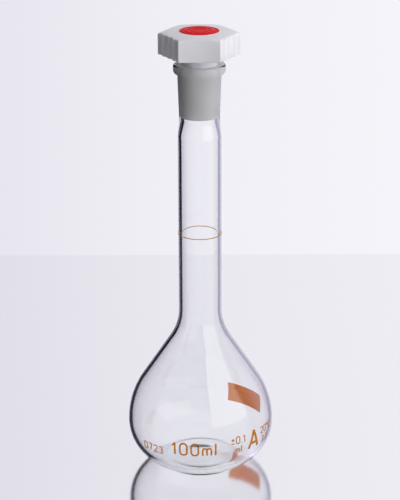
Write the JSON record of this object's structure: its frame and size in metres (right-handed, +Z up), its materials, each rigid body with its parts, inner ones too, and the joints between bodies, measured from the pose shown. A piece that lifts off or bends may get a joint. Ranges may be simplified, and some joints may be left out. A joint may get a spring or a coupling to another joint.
{
  "type": "volumetric flask",
  "caption": "Pear-shaped glass volumetric flask with a ring mark on its narrow neck and a six-sided plastic stopper in a ground socket.",
  "frame": {"origin": "centre of the flat ring that stands on the bench, on the flask's axis", "axes": "+Z up along the flask's axis to the stopper, -Y to the front where the capacity mark is, +X to the right"},
  "size_m": [0.06, 0.0601, 0.1836],
  "materials": {
    "clear_glass": "polished, with a fine-ground socket",
    "white_plastic": "satin moulded",
    "red_plastic": "glossy moulded",
    "amber_enamel": "thin translucent fired-on stain"
  },
  "bodies": {
    "flask": {"flask_body": "clear_glass", "graduation_ring": "amber_enamel", "writing_field": "amber_enamel", "capacity_mark": "amber_enamel", "class_mark": "amber_enamel", "tolerance_mark": "amber_enamel", "temperature_mark": "amber_enamel", "glass_type_mark": "amber_enamel", "batch_mark": "amber_enamel"},
    "insert": {"stopper_insert": "red_plastic"},
    "stopper": {"stopper_body": "white_plastic"}
  },
  "joints": [
    {"name": "stopper_lift", "type": "slide", "parent": "flask", "child": "insert", "axis": [0, 0, 1], "range_m": [0, 0.05]},
    {"name": "stopper_twist", "type": "hinge", "parent": "insert", "child": "stopper", "pos_m": [0, 0, 0.17], "axis": [0, 0, 1], "continuous": true}
  ]
}
